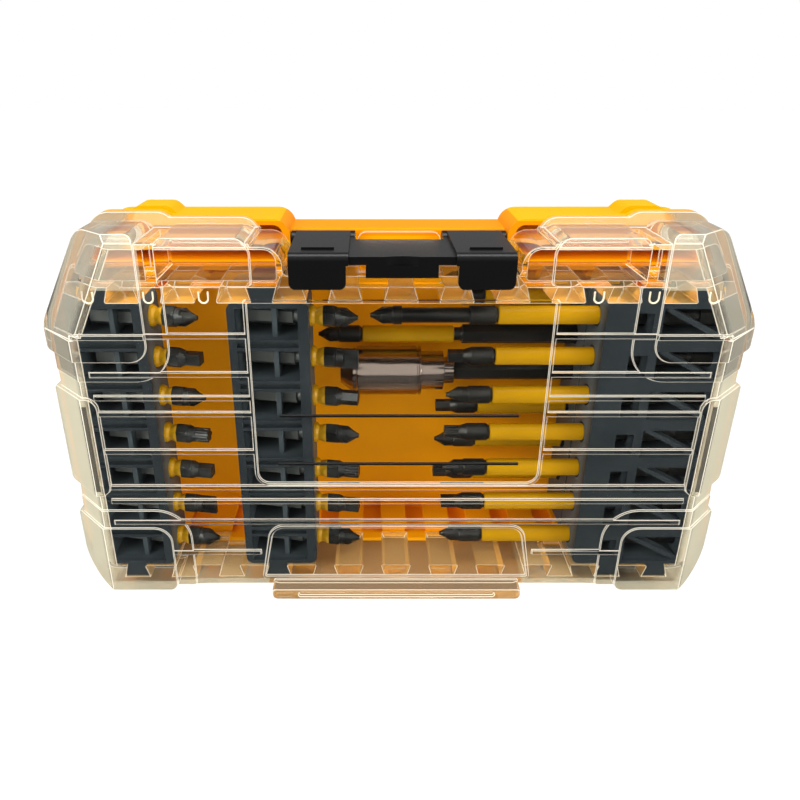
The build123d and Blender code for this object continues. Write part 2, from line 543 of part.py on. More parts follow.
def hexagon_rod(x0, x1, af=HEX_AF):
    face = Plane((x0, 0, 0), x_dir=(0, 1, 0), z_dir=(1, 0, 0)) * RegularPolygon(af / math.sqrt(3), 6, rotation=30)
    return extrude(face, amount=x1 - x0)


TIP_KINDS = ("cross", "square", "slot", "star", "hexagon")


def tip(kind, size):
    """A driver tip that points along -X, with its root at x = 0 and its end at x = -7."""
    reach = 7.0
    if kind == "cross":
        point = lathe([(0, 0), (0, size / 2), (-3.0, size / 2), (-reach + 0.8, size / 6), (-reach, size / 8),
                       (-reach, 0)])
        for turn in range(4):
            groove = Rot(45 + 90 * turn, 0, 0) * Pos(-reach, size * 0.42, 0) * Rot(0, 0, 14)
            point -= groove * Box(reach * 1.5, size * 0.5, size * 0.34)
        return point
    if kind == "square":
        face = Rectangle(size * 0.62, size * 0.62)
    elif kind == "hexagon":
        face = RegularPolygon(size * 0.42, 6)
    elif kind == "star":
        face = Circle(size * 0.3)
        for turn in range(6):
            face += Rot(0, 0, 60 * turn) * Pos(size * 0.3, 0) * Circle(size * 0.11)
    else:
        face = Rectangle(size * 0.24, size * 1.05)
    point = extrude(Plane((0, 0, 0), x_dir=(0, 1, 0), z_dir=(-1, 0, 0)) * face, amount=reach)
    return point + lathe([(0, 0), (0, size / 2), (-2.2, size * 0.36), (-2.2, 0)])


def insert_bit(kind):
    """An insert bit along X: hexagon on the left, tip on the right, ring shoulder at x = 0."""
    start = INSERT_OUT - INSERT_L
    body = hexagon_rod(start, -4.0)
    body -= lathe([(start - 1, 10), (start - 1, HEX_R - 0.9), (start + 0.9, HEX_R + 0.6), (start + 0.9, 10)])
    shoulder = RING_D / 2 - 0.45
    head_end = INSERT_OUT - 7.0
    body += lathe([(-4.5, 0), (-4.5, 2.4), (0.0, 2.7), (0.0, shoulder), (RING_W, shoulder), (RING_W + 1.0, 2.5),
                   (RING_W + 1.2, 0)])
    head = hexagon_rod(RING_W + 0.4, head_end)
    head &= lathe([(RING_W, 0), (RING_W, 2.3), (RING_W + 4.0, HEX_R), (head_end - 0.6, HEX_R), (head_end, HEX_R - 0.5),
                   (head_end, 0)])
    point = Pos(head_end + 0.1, 0, 0) * Rot(0, 0, 180) * tip(kind, 6.2)
    return body + head + point


def insert_ring():
    inner = RING_D / 2 - 0.45 + 0.02
    return lathe([(0.3, inner), (0.3, RING_D / 2 - 0.2), (0.7, RING_D / 2), (RING_W - 0.5, RING_D / 2),
                  (RING_W - 0.1, RING_D / 2 - 0.2), (RING_W - 0.1, inner)])


def notch(end_x):
    """The ring that is taken off a long shank near its end, where a driver's ball locks in."""
    x = end_x - 9.0
    return lathe([(x - 1.6, 10), (x - 1.0, HEX_R - 0.85), (x + 1.0, HEX_R - 0.85), (x + 1.6, 10)])


def power_bit(kind, tip_x, end_x, sleeve_x):
    """A long bit along X with its tip on the left, and a slim neck where it is longer than the others."""
    body = hexagon_rod(sleeve_x + SLEEVE_L + 3.0, end_x)
    neck_end = sleeve_x - TIP_OUT + 8.0
    body -= notch(end_x)
    body -= lathe([(end_x + 1, 10), (end_x + 1, HEX_R - 0.9), (end_x - 0.9, HEX_R + 0.6), (end_x - 0.9, 10)])
    waist = SLEEVE_D / 2 - SLEEVE_T
    sleeve_end = sleeve_x + SLEEVE_L
    body += lathe([(tip_x + 7.0, 0), (tip_x + 7.0, 2.6), (tip_x + 8.0, 3.1), (sleeve_x - 1.0, 3.1), (sleeve_x, waist),
                   (sleeve_end + 2.0, waist), (sleeve_end + 3.5, 3.1), (sleeve_end + 3.5, 0)])
    if neck_end > tip_x + 12.0:
        body -= lathe([(tip_x + 10.0, 10), (tip_x + 10.6, 2.5), (neck_end - 1.5, 2.5), (neck_end, 10)])
    return body + Pos(tip_x + 7.2, 0, 0) * tip(kind, 5.6)


def power_sleeve(sleeve_x):
    outer = SLEEVE_D / 2
    inner = outer - SLEEVE_T + 0.02
    end = sleeve_x + SLEEVE_L
    return lathe([(sleeve_x + 0.1, inner), (sleeve_x + 0.1, outer - 0.4), (sleeve_x + 0.5, outer), (end - 0.5, outer),
                  (end - 0.1, outer - 0.4), (end - 0.1, inner)])


def make_holder(end_x):
    """The quick-change holder along X: its shank, core, sleeve, spring, ball, ring and magnet."""
    nose, core_end, cap_end = HOLDER_NOSE_X, HOLDER_CORE_END, HOLDER_CAP_END
    core_r, cap_r = HOLDER_CORE_D / 2, HOLDER_CAP_D / 2
    sleeve_r = HOLDER_SLEEVE_D / 2
    room_r = SPRING_ROOM_D / 2
    front, back = HOLDER_SLEEVE_X
    socket_end = -2.0
    shank_start = 4.0
    core = lathe([(nose, 0), (nose, 4.6), (nose + 4.6, sleeve_r - 0.9), (front - 0.3, sleeve_r - 0.9),
                  (front - 0.3, core_r), (core_end, core_r), (core_end + 0.5, cap_r), (cap_end - 0.5, cap_r),
                  (cap_end, cap_r - 0.5), (cap_end, 0)])
    core -= hexagon_rod(nose - 1, socket_end, HEX_AF + 0.2)
    core -= hexagon_rod(shank_start, cap_end + 1, HEX_AF + 0.02)
    ball_x = -9.0
    core -= Pos(ball_x, 0, core_r - 1.6) * Cylinder(BALL_D / 2 + 0.05, 4.6)
    room = (front + 8.0, back - 2.0)
    ring_x = room[1] - 1.3
    core -= lathe([(ring_x, core_r - 0.5), (ring_x, core_r + 1), (ring_x + 1.0, core_r + 1),
                   (ring_x + 1.0, core_r - 0.5)])
    bore_r = core_r + SLIDE_FIT
    sleeve = lathe([(front, bore_r), (front, sleeve_r - 0.4), (front + 0.4, sleeve_r), (back - 1.6, sleeve_r),
                    (back - 1.6, sleeve_r - 0.5), (back - 1.0, sleeve_r - 0.5), (back - 1.0, sleeve_r),
                    (back - 0.3, sleeve_r), (back, sleeve_r - 0.3), (back, bore_r), (room[1], bore_r),
                    (room[1], room_r), (room[0], room_r), (room[0], bore_r), (ball_x - 1.6, bore_r),
                    (ball_x - 1.8, core_r + 0.8), (ball_x - 4.2, core_r + 0.8), (ball_x - 4.4, bore_r)])
    ring = lathe([(ring_x + 0.1, core_r - 0.45), (ring_x + 0.1, room_r - 0.15), (ring_x + 0.9, room_r - 0.15),
                  (ring_x + 0.9, core_r - 0.45)])
    coil_r = (core_r + room_r) / 2
    spring_x = (room[0] + SLIDE_TRAVEL + 0.2 + SPRING_WIRE / 2, ring_x + 0.1 - SPRING_WIRE / 2)
    height = spring_x[1] - spring_x[0]
    path = Helix(pitch=height / SPRING_TURNS, height=height, radius=coil_r)
    start = Plane(origin=path @ 0, z_dir=path % 0)
    coil = sweep(start * Circle(SPRING_WIRE / 2), path=path, is_frenet=True)
    spring = Pos(spring_x[0], 0, 0) * Rot(0, 90, 0) * coil
    ball = Pos(ball_x, 0, core_r - BALL_D / 2 - 0.05) * Sphere(BALL_D / 2)
    magnet = rod((socket_end - 1.7, socket_end - 0.1), 0, 0, HEX_AF / 2 - 0.1)
    shank = hexagon_rod(shank_start + 0.1, end_x)
    shank -= notch(end_x)
    return {"holder_core": core, "holder_sleeve": sleeve, "holder_ring": ring, "holder_spring": spring,
            "holder_ball": ball, "holder_magnet": magnet, "holder_shank": shank}


parts = {}
parts["base_shell"] = make_base()
parts["lid_shell"] = make_lid()
parts["latch"] = make_latch()
parts["bar_left"] = make_narrow_bar(LEFT_BAR_X)
parts["bar_middle"] = make_narrow_bar(MIDDLE_BAR_X)
parts["bar_right_front"] = make_wide_bar((BAR_FRONT_Y, BAR_BACK_Y), FRONT_ROW_Y, range(ROWS))
parts["bar_right_rear"] = make_wide_bar(REAR_BAR_Y, REAR_ROW_Y, range(1, ROWS))

insert_kinds = {"left": ("cross", "slot", "square", "star", "cross", "square", "cross"),
                "middle": ("cross", "square", "star", "cross", "hexagon", "slot", "cross")}
for side, bar_x in (("left", LEFT_BAR_X), ("middle", MIDDLE_BAR_X)):
    rings = Part()
    for row in range(ROWS):
        place = insert_place(bar_x, row)
        parts[f"{side}_bit_{row + 1}"] = place * insert_bit(insert_kinds[side][row])
        rings += place * insert_ring()
    parts[f"{side}_bit_rings"] = rings

front_kinds = ("cross", "square", "cross", "star", "cross", "square", "cross")
for row in range(ROWS):
    place = Pos(0, FRONT_ROW_Y, row_z(row))
    tip_x = SHANK_END_X - POWER_L
    sleeve_x = tip_x + TIP_OUT
    if row == ROWS - 1:
        tip_x = TOP_BIT_TIP_X
    parts[f"power_bit_{row + 1}"] = place * power_bit(front_kinds[row], tip_x, SHANK_END_X, sleeve_x)
    parts[f"power_sleeve_{row + 1}"] = place * power_sleeve(sleeve_x)

rear_rows = {1: "star", 2: "cross", 3: "hexagon", 6: "cross"}
for row, kind in rear_rows.items():
    place = Pos(0, REAR_ROW_Y, row_z(row))
    end_x = SHANK_END_X + REAR_SHIFT
    sleeve_x = end_x - POWER_L + TIP_OUT
    parts[f"rear_bit_{row + 1}"] = place * power_bit(kind, end_x - POWER_L, end_x, sleeve_x)
    parts[f"rear_sleeve_{row + 1}"] = place * power_sleeve(sleeve_x)

long_place = Pos(0, REAR_ROW_Y, row_z(5))
parts["long_bit"] = long_place * power_bit("cross", LONG_BIT_TIP_X, SHANK_END_X, LONG_SLEEVE_X)
parts["long_sleeve"] = long_place * power_sleeve(LONG_SLEEVE_X)
for name, piece in make_holder(SHANK_END_X).items():
    parts[name] = Pos(0, REAR_ROW_Y, row_z(HOLDER_ROW)) * piece

os.makedirs("parts", exist_ok=True)
to_middle = Pos(0, -(LIP_FRONT_Y + BACK_Y) / 2, 0)
for name, piece in parts.items():
    export_step(to_middle * piece, f"parts/{name}.step")
print(len(parts), "pieces")
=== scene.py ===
# %% [markdown]
# # A screwdriver bit set in a clear-lidded case
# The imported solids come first. They give every piece its true size and place, and each piece that is
# dressed here starts as a copy of one of them. A case like this is judged by its gloss, so most of the
# work below goes into rounded edges, clear plastic and what shows through it.

# %% Load the solids
import bpy, json, math
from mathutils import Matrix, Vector


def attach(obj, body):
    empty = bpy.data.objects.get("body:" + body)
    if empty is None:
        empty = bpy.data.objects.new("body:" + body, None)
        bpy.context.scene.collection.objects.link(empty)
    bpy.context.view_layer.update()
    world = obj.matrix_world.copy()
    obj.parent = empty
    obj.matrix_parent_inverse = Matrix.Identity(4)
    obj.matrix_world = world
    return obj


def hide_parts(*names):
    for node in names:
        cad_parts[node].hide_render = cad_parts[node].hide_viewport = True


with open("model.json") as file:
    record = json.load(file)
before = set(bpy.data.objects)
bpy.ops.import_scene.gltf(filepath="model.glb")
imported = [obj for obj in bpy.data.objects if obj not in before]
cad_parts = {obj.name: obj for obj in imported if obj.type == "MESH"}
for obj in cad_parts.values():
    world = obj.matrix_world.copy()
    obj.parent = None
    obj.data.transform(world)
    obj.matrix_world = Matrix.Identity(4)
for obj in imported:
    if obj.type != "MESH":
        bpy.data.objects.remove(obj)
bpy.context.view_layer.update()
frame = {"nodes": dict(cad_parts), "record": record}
nodes = frame["nodes"]
MM = 0.001

# %% [markdown]
# ## Camera
# The photograph was taken from a little above, by a camera that tilts down without any roll. Its focal
# length and place could be guessed by eye. Here they were fitted to the case's corners, so the model lands
# on the same pixels and every later difference is one of shape or finish.

# %% Camera
PICTURE_PX, FOCAL_PX = 800, 730
TILT_DOWN = 24.83
CAMERA_MM = (-10.32, -239.4, 177.5)
eye = bpy.data.cameras.new("eye")
eye.sensor_width = 36.0
eye.lens = FOCAL_PX / PICTURE_PX * eye.sensor_width
eye.shift_x = 0.04
eye.clip_start, eye.clip_end = 0.01, 10.0
viewer = bpy.data.objects.new("viewer", eye)
bpy.context.scene.collection.objects.link(viewer)
viewer.location = [c * MM for c in CAMERA_MM]
viewer.rotation_euler = (math.radians(90 - TILT_DOWN), 0, 0)
bpy.context.scene.camera = viewer
bpy.context.scene.view_settings.view_transform = "Standard"
print("lens", round(eye.lens, 2), "mm")

# %% [markdown]
# ## Shader sums
# A finish is easier to read as a sum than as a wiring plan. Value wraps a socket, and adding or
# multiplying two of them adds the Math node that does it. Finish makes a material, and its one method
# for nodes takes the kind of node, its settings and what goes into its sockets.


# %% Sums over a surface
class Value:
    """A number that varies over a surface."""

    def __init__(self, finish, socket):
        self.finish, self.socket = finish, socket

    def maths(self, operation, *others):
        sockets = dict(enumerate((self, *others)))
        return self.finish.node("ShaderNodeMath", {"operation": operation}, sockets)

    def __add__(self, other):
        return self.maths("ADD", other)

    def __mul__(self, other):
        return self.maths("MULTIPLY", other)

    def __sub__(self, other):
        return self.maths("SUBTRACT", other)

    def __rsub__(self, other):
        return self.finish.node("ShaderNodeMath", {"operation": "SUBTRACT"}, {0: other, 1: self})

    def __gt__(self, other):
        return self.maths("GREATER_THAN", other)

    def __lt__(self, other):
        return self.maths("LESS_THAN", other)

    __radd__, __rmul__ = __add__, __mul__

    def climb(self, low, high):
        """0 below low and 1 above high, with an even climb between them."""
        sockets = {"Value": self, "From Min": low, "From Max": high}
        return self.finish.node("ShaderNodeMapRange", {"clamp": True}, sockets)

    def between(self, low, high):
        """1 from low to high and 0 elsewhere."""
        return (self > low) * (self < high)


# %% A finish under construction
class Finish:
    """A material under construction."""

    def __init__(self, name):
        self.material = bpy.data.materials.new(name)
        self.material.use_nodes = True
        self.tree = self.material.node_tree
        self.tree.nodes.clear()
        self.out = self.tree.nodes.new("ShaderNodeOutputMaterial")

    def node(self, kind, settings=None, sockets=None, output=0):
        made = self.tree.nodes.new(kind)
        for name, value in (settings or {}).items():
            setattr(made, name, value)
        for name, value in (sockets or {}).items():
            if isinstance(value, Value):
                self.tree.links.new(value.socket, made.inputs[name])
            else:
                made.inputs[name].default_value = value
        return Value(self, made.outputs[output])

    def place(self, stretch=None):
        spot = self.node("ShaderNodeTexCoord", output="Object")
        return self.node("ShaderNodeMapping", {}, {"Vector": spot, "Scale": stretch}) if stretch else spot

    def along(self, axis):
        """The X, Y or Z of each point, in metres."""
        return self.node("ShaderNodeSeparateXYZ", {}, {0: self.place()}, output=axis)

    def ray(self, kind):
        """1 for a camera, shadow, diffuse or glossy ray and 0 for the others."""
        return self.node("ShaderNodeLightPath", output=f"Is {kind} Ray")

    def noise(self, scale, detail=3.0, stretch=None):
        sockets = {"Vector": self.place(stretch), "Scale": scale, "Detail": detail, "Roughness": 0.55}
        return self.node("ShaderNodeTexNoise", {}, sockets, output="Fac")

    def blend(self, amount, first, second):
        return self.node("ShaderNodeMix", {"data_type": "RGBA"}, {0: amount, 6: first, 7: second}, output=2)

    def bump(self, height, strength, depth):
        return self.node("ShaderNodeBump", {}, {"Height": height, "Strength": strength, "Distance": depth})

    def surface(self, **sockets):
        named = {name.replace("_", " "): value for name, value in sockets.items()}
        return self.node("ShaderNodeBsdfPrincipled", {}, named)

    def layer(self, share, first, second):
        return self.node("ShaderNodeMixShader", {}, {0: share, 1: first, 2: second})

    def finished(self, shader):
        self.tree.links.new(shader.socket, self.out.inputs["Surface"])
        print("finish", self.material.name, "with", len(self.tree.nodes), "nodes")
        return self.material


# %% Colours
def colour(red, green, blue):
    """The linear colour of an sRGB triple from 0 to 255."""
    shares = (red / 255, green / 255, blue / 255)
    return (*(s / 12.92 if s <= 0.04045 else ((s + 0.055) / 1.055) ** 2.4 for s in shares), 1.0)


print("a grey of 128 is", round(colour(128, 128, 128)[0], 3), "in linear light")

# %% [markdown]
# ## Yellow moulded plastic
# The base is a warm yellow, moulded all through, with a faint grain and small changes of tone where the
# plastic flowed. A picture of plastic could be wrapped round it, but it would stretch over the corners.
# Two noises do it at any size: a wide one for the tone and a fine one for the grain. The strip between the
# upper pads is more orange. The inside is painted a little lighter, as painted light that makes up for the
# shade it lies in. The inside ends at the side walls, which lean inwards at the upper corners, so a helper
# first takes that lean away.

# %% The lean of the upper corners, in metres
CORNER_FROM, CORNER_LEAN = 0.098, 0.462


def lean_free(side, height):
    """How far out a point lies from the middle, with the lean of the upper corners taken away."""
    return side + (height - CORNER_FROM).maths("MAXIMUM", 0) * CORNER_LEAN


print("the corners lean in by", CORNER_LEAN, "of the height above", CORNER_FROM)

# %% Yellow plastic
INSIDE_REACH, INSIDE_BACK_Y, INSIDE_Z = 0.1138, 0.0275, (0.0035, 0.1155)
STRIP_SIDE, STRIP_Z = 0.0475, (0.1235, 0.1298)
finish = Finish("yellow_plastic")
tone = finish.noise(18, 2)
grain = finish.noise(2400, 2)
x, y, z = (finish.along(axis) for axis in range(3))
side = x.maths("ABSOLUTE")
# The inside is painted a little lighter: painted light against its shade.
painted_light_inside = (lean_free(side, z) < INSIDE_REACH) * (y < INSIDE_BACK_Y) * z.between(*INSIDE_Z)
strip = (side < STRIP_SIDE) * z.between(*STRIP_Z)
outside = finish.blend(tone.climb(0.35, 0.7), colour(250, 170, 0), colour(253, 180, 2))
yellow = finish.blend(painted_light_inside, finish.blend(strip, outside, colour(244, 146, 0)), colour(255, 174, 0))
YELLOW = finish.finished(finish.surface(
    Base_Color=yellow, Roughness=tone.climb(0, 1) * 0.1 + 0.42, Specular_IOR_Level=0.06,
    Normal=finish.bump(grain, 0.12, 0.0002)))

# %% [markdown]
# ## Haze in the clear plastic
# Where the eye looks along a wall of the lid, as at the sloped border, the teeth, the sole and the thick
# rim on top, the plastic looks cloudy. A cloud could be traced through its whole depth, but that is slow
# and noisy, so the haze is a thin layer over the surface that depends on the place. Its cream is partly the
# plastic's own cloudiness and partly painted light, a glow laid where the eye looks along a wall. Its
# other tints are painted light: painted shade in grey on the upper part of the border, a painted reflection
# of the yellow base in amber at the teeth and the foot, and painted shade in dark on the ledge above the
# upper teeth and in the long slot of each side pad. The edge along the top of the middle panel has none.

# %% Places on the lid, in metres
FRONT_INNER_Y, FRONT_OUTER_Y = -0.0198, -0.0200
RIM_Z = (0.1262, 0.1288)
BORDER_REACH, BORDER_END, GREY_FROM_Z = (0.1025, 0.1062), 0.1172, 0.084
CORNER_PAD_SIDE, CORNER_PAD_Z = 0.0795, 0.1143
SLOT_SIDE, SLOT_Z = (0.1027, 0.1050), (0.0425, 0.0750)
LEDGE_SIDE, LEDGE_Z = 0.1, (0.1158, 0.1168)
TEETH_SIDE, UPPER_TEETH_Z, LOWER_TEETH_Z = 0.101, (0.1088, 0.1143), (0.0035, 0.0094)
SOLE_Z, FOOT_SIDE = 0.0042, 0.047
PANEL_SIDE, PANEL_TOP_Z = 0.0480, (0.1102, 0.1120)
HAZE = {"rim": 0.2, "border": 0.56, "corner_pad": 0.34, "teeth": 0.25, "sole": 0.28, "ledge": 0.42,
        "slot": 0.8}
CREAM, EDGE_HIGHLIGHT_CREAM = colour(224, 219, 192), colour(255, 248, 230)
# These tints are painted light: grey and dark paint shade, and amber paints the yellow base's reflection.
PAINTED_LIGHT_TINTS = {"border": colour(162, 158, 142), "teeth": colour(244, 198, 116), "sole": colour(206, 158, 92),
         "ledge": colour(46, 36, 46), "slot": colour(18, 22, 30)}
print("haze on the", ", ".join(HAZE))


# %% Haze by place
def haze(finish, highlight_share):
    """How thick the haze is over each point, with a share of milk, a painted highlight, all over, and the
    haze's colour, which paints shade and the yellow base's reflection in places.
    """
    x, y, z = (finish.along(axis) for axis in range(3))
    side = x.maths("ABSOLUTE")
    reach = lean_free(side, z)
    inner, outer = y > FRONT_INNER_Y, y < FRONT_OUTER_Y
    where = {
        "rim": z.climb(*RIM_Z),
        "border": reach.climb(*BORDER_REACH) * (reach < BORDER_END),
        "corner_pad": outer * (side > CORNER_PAD_SIDE) * (z > CORNER_PAD_Z),
        "teeth": inner * (side < TEETH_SIDE) * (z.between(*UPPER_TEETH_Z) + z.between(*LOWER_TEETH_Z)),
        "sole": z < SOLE_Z,
        "ledge": inner * (side < LEDGE_SIDE) * z.between(*LEDGE_Z),
        "slot": outer * side.between(*SLOT_SIDE) * z.between(*SLOT_Z)}
    share, *others = (where[place] * thickness for place, thickness in HAZE.items())
    for other in others:
        share = share.maths("MAXIMUM", other)
    panel_top = outer * (side < PANEL_SIDE) * z.between(*PANEL_TOP_Z)
    share = (share + highlight_share) * (1 - panel_top)
    if highlight_share:
        return share, EDGE_HIGHLIGHT_CREAM
    where["border"] = where["border"] * HAZE["border"] * (z > GREY_FROM_Z) > 0.01
    where["sole"] = where["sole"] * (side < FOOT_SIDE)
    tint = CREAM
    for place, paint in PAINTED_LIGHT_TINTS.items():
        tint = finish.blend(where[place], tint, paint)
    return share, tint


# %% [markdown]
# ## Clear plastic
# The lid is a wall of clear polycarbonate, two millimetres thick. Real refraction bends what is behind it.
# The index here is below the real plastic's 1.58, so that its many walls mirror and bend less. Light from
# the lamps couldn't pass such a wall in a path tracer without noise, so rays that carry shadow or soft
# light go straight through instead, a little dimmed. The rounded edges of such a part show as cream lines
# where they catch the light, so they have a finish of their own that mixes a milky body into the glass, a
# painted highlight.


# %% Clear plastic
LID_INDEX, MOST_HAZE = 1.22, 0.8


def clear_plastic(name, highlight_share):
    """Clear plastic under its haze, with an even share of milk that paints a highlight."""
    finish = Finish(name)
    share, tint = haze(finish, highlight_share)
    glassy = finish.surface(
        Base_Color=colour(255, 250, 241), Roughness=finish.noise(60, 3).climb(0.3, 0.8) * 0.03 + 0.01,
        IOR=LID_INDEX, Transmission_Weight=1.0, Specular_Tint=(0.5, 0.5, 0.5, 1))
    haze_and_painted_light = finish.surface(Base_Color=tint, Roughness=0.25)
    body = finish.layer(share.maths("MINIMUM", MOST_HAZE), glassy, haze_and_painted_light)
    straight = finish.node("ShaderNodeBsdfTransparent", {}, {"Color": (1.0, 0.985, 0.96, 1)})
    passing = finish.ray("Shadow").maths("MAXIMUM", finish.ray("Diffuse"))
    return finish.finished(finish.layer(passing, body, straight))


CLEAR = clear_plastic("clear_plastic", highlight_share=0.0)
# The edge finish's milk paints a cream highlight along the lid's rounded edges.
CLEAR_EDGE_HIGHLIGHT = clear_plastic("clear_edge_highlight", highlight_share=0.54)

# %% [markdown]
# ## Black and charcoal plastics
# The latch is nearly black, with a fine grain and a satin shine. The bars that hold the bits are a cool
# charcoal with a little less shine. One function makes both. Little light comes into the bars' cells, and
# a lamp for them would also show on the clear lid, so the charcoal is lighter behind the bars' front faces.


# %% Black and charcoal plastics
CELL_Y = (-0.0185, -0.0145)


def dark_plastic(name, dark, light, roughness, grain_size, gloss, inner=None):
    """Moulded plastic with a fine grain. An inner colour takes over where the bars' cells begin."""
    finish = Finish(name)
    grain = finish.noise(grain_size, 2)
    skin = finish.blend(finish.noise(45, 3).climb(0.3, 0.75), dark, light)
    if inner:
        skin = finish.blend(finish.along(1).climb(*CELL_Y), skin, inner)
    return finish.finished(finish.surface(
        Base_Color=skin, Roughness=grain.climb(0.2, 0.8) * 0.12 + roughness, Specular_IOR_Level=gloss,
        Normal=finish.bump(grain, 0.12, 0.0001)))


BLACK = dark_plastic("black_plastic", colour(1, 1, 1), colour(3, 3, 3),
                     roughness=0.28, grain_size=2600, gloss=0.35)
CHARCOAL = dark_plastic("charcoal_plastic", colour(33, 41, 47), colour(43, 51, 58),
                        roughness=0.34, grain_size=1800, gloss=0.15, inner=colour(72, 84, 92))

# %% [markdown]
# ## Yellow trim
# The sleeves and rings of the bits could share the case's yellow, but they are deeper in colour and
# smoother than the case, so they have a satin finish of their own.

# %% Yellow trim
finish = Finish("yellow_trim")
tone = finish.noise(70, 2)
TRIM = finish.finished(finish.surface(
    Base_Color=finish.blend(tone.climb(0.3, 0.7), colour(170, 128, 0), colour(178, 136, 0)),
    Roughness=tone * 0.1 + 0.25, Specular_IOR_Level=0.12,
    Normal=finish.bump(finish.noise(1500, 2), 0.05, 0.0002)))

# %% [markdown]
# ## Black oxide
# Black oxide is a thin dark skin on steel: dull, a little metallic, and slightly worn where the bits rub.
# The short bits have a lighter shank, painted light that makes up for the shade of the bars' cells, and a
# band of yellow paint next to their rings. A band could be a ring of its own, but paint has no height. The
# bits stand in rows, so spans of X say where the shanks and bands lie, and one finish paints all fourteen.


# %% Black oxide
SHANKS_MM = ((-105.0, -84.5), (-52.8, -32.3))
BANDS_MM = ((-82.5, -77.2), (-30.3, -25.0))


def spans(x, pairs):
    """1 within any of the pairs of X values, which are in millimetres."""
    return sum(x.between(low * MM, high * MM) for low, high in pairs)


def oxide(name, light, shanks=(), bands=()):
    """Black oxide, with shanks painted lighter, as painted light, and bands of yellow paint between pairs
    of X values.
    """
    finish = Finish(name)
    tone = finish.noise(160, 4, (0.25, 1, 1))
    skin, metal = finish.blend(tone.climb(0.35, 0.8), colour(26, 29, 31), light), 0.75
    if shanks:
        x = finish.along(0)
        # The shanks are painted lighter, as painted light for the shade of the bars' cells.
        lit_shank, painted = spans(x, shanks), spans(x, bands)
        skin = finish.blend(painted, finish.blend(lit_shank, skin, colour(104, 112, 114)), colour(196, 150, 0))
        metal = metal - (lit_shank * 0.45 + painted * 0.7)
    return finish.finished(finish.surface(
        Base_Color=skin, Metallic=metal, Roughness=tone * 0.2 + 0.3,
        Normal=finish.bump(finish.noise(1800, 3, (0.15, 1, 1)), 0.1, 0.0001)))


OXIDE = oxide("black_oxide", colour(58, 60, 60))
LIT_SHANK_OXIDE = oxide("oxide_with_painted_light", colour(78, 84, 87), SHANKS_MM, BANDS_MM)

# %% [markdown]
# ## Bright chrome and plain steel
# The holder is turned and plated bright, and the small parts inside it are plain steel. Fine rings could
# be cut into the holder's mesh, but they are too small to see one by one. So the chrome has a noise that
# changes fast along X and hardly round it, which gives the shine that turning leaves.

# %% Bright chrome and plain steel
finish = Finish("bright_chrome")
turned = finish.noise(2600, 2, (1, 0.02, 0.02))
CHROME = finish.finished(finish.surface(
    Base_Color=colour(158, 149, 147), Metallic=1.0, Roughness=turned * 0.08 + 0.14,
    Normal=finish.bump(turned, 0.05, 0.0001)))

finish = Finish("plain_steel")
STEEL = finish.finished(finish.surface(
    Base_Color=colour(170, 170, 168), Metallic=1.0, Roughness=finish.noise(300) * 0.2 + 0.25))

# %% [markdown]
# ## Dressing a solid
# A moulded edge is never sharp. Its radius could be part of the solid, but then every small edge would be
# one more size to keep, so a copy is rounded here. The solid's mesh arrives as loose triangles, so the copy
# is merged, its flat triangles are joined into whole faces, and a small bevel rounds every edge that turns
# enough. The bevel is what catches the light along the case. The lid's bevel has the milky finish, which
# paints a cream highlight on it. Its back edge is one face with hundreds of corners, on which a bevel goes
# wrong, so that plane alone is cut into triangles first.


# %% Helpers for one piece
def only(piece):
    """Select this piece and nothing else."""
    bpy.ops.object.select_all(action="DESELECT")
    piece.select_set(True)
    bpy.context.view_layer.objects.active = piece


def split_back_edge(piece):
    """Cut the plane of the shell's open edge into triangles."""
    edge_y = max(v.co.y for v in piece.data.vertices if v.co.z > 0.1)
    for part in (piece.data.vertices, piece.data.edges):
        part.foreach_set("select", [False] * len(part))
    for face in piece.data.polygons:
        face.select = face.normal.y > 0.9 and abs(face.center.y - edge_y) < 0.05 * MM
    bpy.ops.object.mode_set(mode="EDIT")
    bpy.ops.mesh.select_mode(type="FACE")
    bpy.ops.mesh.quads_convert_to_tris(ngon_method="BEAUTY")
    bpy.ops.object.mode_set(mode="OBJECT")


# %% A helper that dresses a solid
MERGE, FLAT_WITHIN = 0.002 * MM, math.radians(0.6)


def dressed(node, finish, round_by, turn=32, steps=2, edge_finish=None):
    """A merged copy of a solid with rounded edges, which stands for the solid from here on."""
    piece = nodes[node].copy()
    piece.data = nodes[node].data.copy()
    piece.name = node + "_dressed"
    for key in list(piece.keys()):
        del piece[key]
    piece.parent = None
    piece.data.materials.clear()
    for each in (finish, edge_finish or finish):
        piece.data.materials.append(each)
    bpy.context.scene.collection.objects.link(piece)
    only(piece)
    bpy.ops.object.mode_set(mode="EDIT")
    bpy.ops.mesh.select_all(action="SELECT")
    bpy.ops.mesh.customdata_custom_splitnormals_clear()
    bpy.ops.mesh.remove_doubles(threshold=MERGE)
    bpy.ops.mesh.dissolve_limited(angle_limit=FLAT_WITHIN)
    bpy.ops.object.mode_set(mode="OBJECT")
    if edge_finish:
        split_back_edge(piece)
    if round_by:
        bevel = piece.modifiers.new("round", "BEVEL")
        bevel.width, bevel.segments = round_by, steps
        bevel.limit_method, bevel.angle_limit = "ANGLE", math.radians(turn)
        bevel.use_clamp_overlap = not edge_finish
        bevel.material = 1 if edge_finish else 0
        bpy.ops.object.modifier_apply(modifier="round")
    bpy.ops.object.shade_smooth_by_angle(angle=math.radians(turn))
    flat = piece.modifiers.new("flat", "WEIGHTED_NORMAL")
    flat.keep_sharp, flat.weight = True, 100
    bpy.ops.object.modifier_apply(modifier="flat")
    body = next(b for b, members in frame["record"]["behaviour"]["bodies"].items() if node in members)
    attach(piece, body)
    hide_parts(node)
    print(piece.name, len(piece.data.polygons), "faces")


